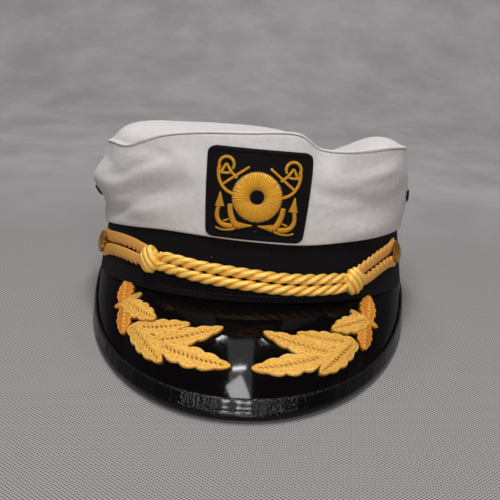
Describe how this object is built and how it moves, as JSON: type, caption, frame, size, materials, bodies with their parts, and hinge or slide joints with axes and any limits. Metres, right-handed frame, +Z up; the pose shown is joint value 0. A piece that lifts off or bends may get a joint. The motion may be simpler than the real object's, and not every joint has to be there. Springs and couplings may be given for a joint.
{
  "type": "peaked yachting cap",
  "caption": "Soft white peaked cap on a black band with a glossy black peak, gold rope strap, oak sprays and an anchor badge.",
  "frame": {"origin": "middle of the cap's footprint at the height of the surface it rests on", "axes": "+Y to the back of the cap, the peak points to -Y, +X to the viewer's right, +Z up"},
  "size_m": [0.189, 0.2768, 0.1214],
  "materials": {
    "white_twill": "matte cotton twill",
    "black_cloth": "matte wool-like cloth",
    "black_patent": "mirror gloss",
    "black_edging": "grained, satin",
    "gold_thread": "metallic embroidery thread",
    "gold_rope": "metallic foil cord",
    "gold_metal": "polished",
    "black_metal": "satin black"
  },
  "bodies": {
    "root": {"crown_wall": "white_twill", "crown_top": "white_twill", "band": "black_cloth", "peak": "black_patent", "peak_binding": "black_edging", "leaf_spray_left": "gold_thread", "leaf_spray_right": "gold_thread", "badge_patch": "black_cloth", "badge_embroidery": "gold_thread", "strap_rope_upper": "gold_rope", "strap_rope_lower": "gold_rope", "strap_knot_left": "gold_rope", "strap_knot_right": "gold_rope", "strap_loop_left": "gold_rope", "strap_loop_right": "gold_rope", "button_left": "gold_metal", "button_right": "gold_metal", "eyelet_left": "black_metal", "eyelet_right": "black_metal"}
  },
  "joints": []
}
